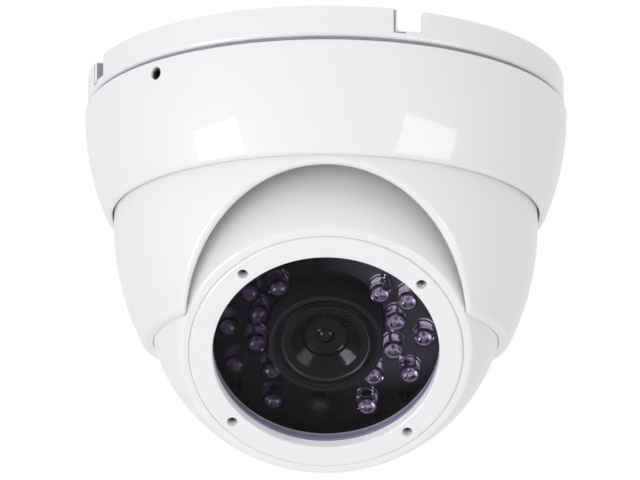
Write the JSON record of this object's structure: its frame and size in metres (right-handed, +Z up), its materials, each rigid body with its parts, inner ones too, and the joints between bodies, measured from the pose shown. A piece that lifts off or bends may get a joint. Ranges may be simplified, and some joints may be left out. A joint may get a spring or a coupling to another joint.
{
  "type": "dome cctv camera",
  "caption": "White ceiling dome camera: a round base and cover, a hooded turret that pans, and a ball with a lamp-ringed lens window that tilts and rolls.",
  "frame": {"origin": "centre of the four ceiling screws, on the face that meets the ceiling", "axes": "+Z up into the ceiling; the camera hangs towards -Z and its lens side faces -Y"},
  "size_m": [0.12, 0.12, 0.0976],
  "materials": {
    "white_shell": "gloss",
    "black_rubber": "matte",
    "steel": "satin",
    "dark_screw": "satin",
    "nylon": "satin",
    "brass": "satin",
    "window": "polished",
    "lens_glass": "polished",
    "filter_glass": "polished",
    "lamp": "gloss",
    "sensor_resin": "gloss",
    "circuit_board": "satin",
    "chip": "matte",
    "lens_black": "satin",
    "cell_metal": "satin"
  },
  "bodies": {
    "base": {"mount_base": "white_shell", "cable_grommet": "black_rubber", "base_seal": "black_rubber", "pan_stop_pin": "steel", "cover_ring": "white_shell", "cover_lock_screw": "dark_screw", "pan_slip_ring": "nylon", "pan_friction_ring": "black_rubber"},
    "turret": {"turret_shell": "white_shell", "pan_frame": "steel", "pan_frame_screws": "dark_screw", "tilt_bushes": "nylon"},
    "yoke": {"tilt_yoke": "steel", "tilt_pins": "steel", "tilt_pin_clips": "steel"},
    "ball": {"ball_front": "white_shell", "ball_rear_shell": "white_shell", "ball_seal": "black_rubber", "ball_screws": "steel", "roll_washers": "nylon", "neck_nut": "brass", "roll_stop_pin": "steel", "neck_plug": "black_rubber", "bezel_ring": "white_shell", "bezel_screws": "dark_screw", "window_glass": "window", "window_gasket": "black_rubber", "led_board": "circuit_board", "ir_leds": "lamp", "light_sensor": "sensor_resin", "board_posts": "brass", "module_plate": "steel", "plate_screws": "dark_screw", "lens_hood": "black_rubber", "lens_barrel": "lens_black", "lens_mount": "lens_black", "ir_filter": "filter_glass", "image_sensor": "chip", "sensor_board": "circuit_board", "board_spacers": "brass", "main_board": "circuit_board", "board_screws": "dark_screw", "board_sockets": "nylon", "video_chip": "chip"},
    "focus_grip": {"focus_ring": "lens_black", "focus_lever": "lens_black"},
    "focus_group": {"focus_cell": "cell_metal", "front_lens": "lens_glass"},
    "zoom_grip": {"zoom_ring": "lens_black", "zoom_lever": "lens_black"},
    "zoom_group": {"zoom_cell": "cell_metal", "rear_lens": "lens_glass"}
  },
  "joints": [
    {"name": "pan", "type": "hinge", "parent": "base", "child": "turret", "pos_m": [0, 0, 0], "axis": [0, 0, 1], "range_deg": [-175, 175]},
    {"name": "tilt", "type": "hinge", "parent": "turret", "child": "yoke", "pos_m": [0, 0, -0.0546], "axis": [1, 0, 0], "range_deg": [-23.5, 41.5]},
    {"name": "roll", "type": "hinge", "parent": "yoke", "child": "ball", "pos_m": [0, 0, -0.0546], "axis": [0, 0.6626, 0.749], "range_deg": [-94, 86]},
    {"name": "focus_turn", "type": "hinge", "parent": "ball", "child": "focus_grip", "pos_m": [0, 0, -0.0546], "axis": [0, 0.6626, 0.749], "range_deg": [-45, 45]},
    {"name": "focus_slide", "type": "slide", "parent": "ball", "child": "focus_group", "axis": [0, 0.6626, 0.749], "range_m": [-0.0006, 0.0006]},
    {"name": "zoom_turn", "type": "hinge", "parent": "ball", "child": "zoom_grip", "pos_m": [0, 0, -0.0546], "axis": [0, 0.6626, 0.749], "range_deg": [-45, 45]},
    {"name": "zoom_slide", "type": "slide", "parent": "ball", "child": "zoom_group", "axis": [0, 0.6626, 0.749], "range_m": [-0.001, 0.001]}
  ],
  "couplings": [
    {"joint": "focus_turn", "follows": "focus_slide", "rad_per_m": 1308},
    {"joint": "zoom_turn", "follows": "zoom_slide", "rad_per_m": -785}
  ]
}
